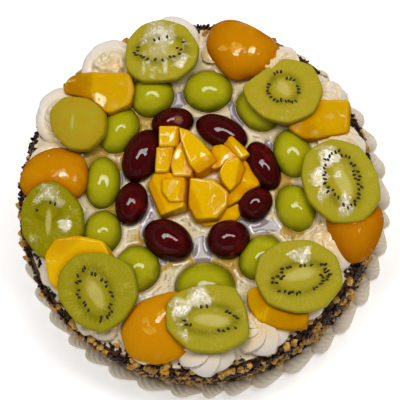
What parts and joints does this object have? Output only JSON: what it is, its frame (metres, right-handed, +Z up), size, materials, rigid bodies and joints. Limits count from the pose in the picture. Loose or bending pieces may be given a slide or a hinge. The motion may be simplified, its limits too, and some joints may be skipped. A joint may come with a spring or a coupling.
{
  "type": "fruit gateau",
  "caption": "Round cream gateau coated with chopped nuts and chocolate strands, with piped cream borders, kiwi slices, apricot halves, mango pieces and grapes on top.",
  "frame": {"origin": "centre of the flat underside, which is also the centre of the bounding box's bottom face", "axes": "+Z up through the cake; +Y towards the back of the cake, where the first kiwi slice and apricot half lie; +X to the right of that"},
  "size_m": [0.251, 0.251, 0.0814],
  "materials": {
    "cream": "soft off-white whipped cream",
    "coated_cake": "cream-covered cake, its side coated with dark chocolate strands and chopped nuts",
    "kiwi": "glazed olive-green kiwi flesh with dark seeds and a pale core",
    "apricot": "glazed orange apricot",
    "mango": "glazed yellow mango flesh",
    "green_grape": "glazed green grape skin",
    "red_grape": "glazed dark red grape skin"
  },
  "bodies": {
    "root": {"cake_body": "coated_cake", "foot_border": "cream", "top_border": "cream", "kiwi_slice_1": "kiwi", "kiwi_slice_2": "kiwi", "kiwi_slice_3": "kiwi", "kiwi_slice_4": "kiwi", "kiwi_slice_5": "kiwi", "kiwi_slice_6": "kiwi", "kiwi_slice_7": "kiwi", "kiwi_end_slice": "kiwi", "apricot_half_1": "apricot", "apricot_half_2": "apricot", "apricot_half_3": "apricot", "apricot_half_4": "apricot", "mango_slab_1": "mango", "mango_slab_2": "mango", "mango_slab_3": "mango", "mango_slab_4": "mango", "mango_chunk_1": "mango", "mango_chunk_2": "mango", "mango_chunk_3": "mango", "mango_chunk_4": "mango", "mango_chunk_5": "mango", "mango_chunk_6": "mango", "mango_chunk_7": "mango", "mango_chunk_8": "mango", "mango_chunk_9": "mango", "mango_chunk_10": "mango", "mango_chunk_11": "mango", "mango_chunk_12": "mango", "green_grape_1": "green_grape", "green_grape_2": "green_grape", "green_grape_3": "green_grape", "green_grape_4": "green_grape", "green_grape_5": "green_grape", "green_grape_6": "green_grape", "green_grape_7": "green_grape", "green_grape_8": "green_grape", "green_grape_9": "green_grape", "green_grape_10": "green_grape", "green_grape_11": "green_grape", "red_grape_1": "red_grape", "red_grape_2": "red_grape", "red_grape_3": "red_grape", "red_grape_4": "red_grape", "red_grape_5": "red_grape", "red_grape_6": "red_grape", "red_grape_7": "red_grape", "red_grape_8": "red_grape"}
  },
  "joints": []
}
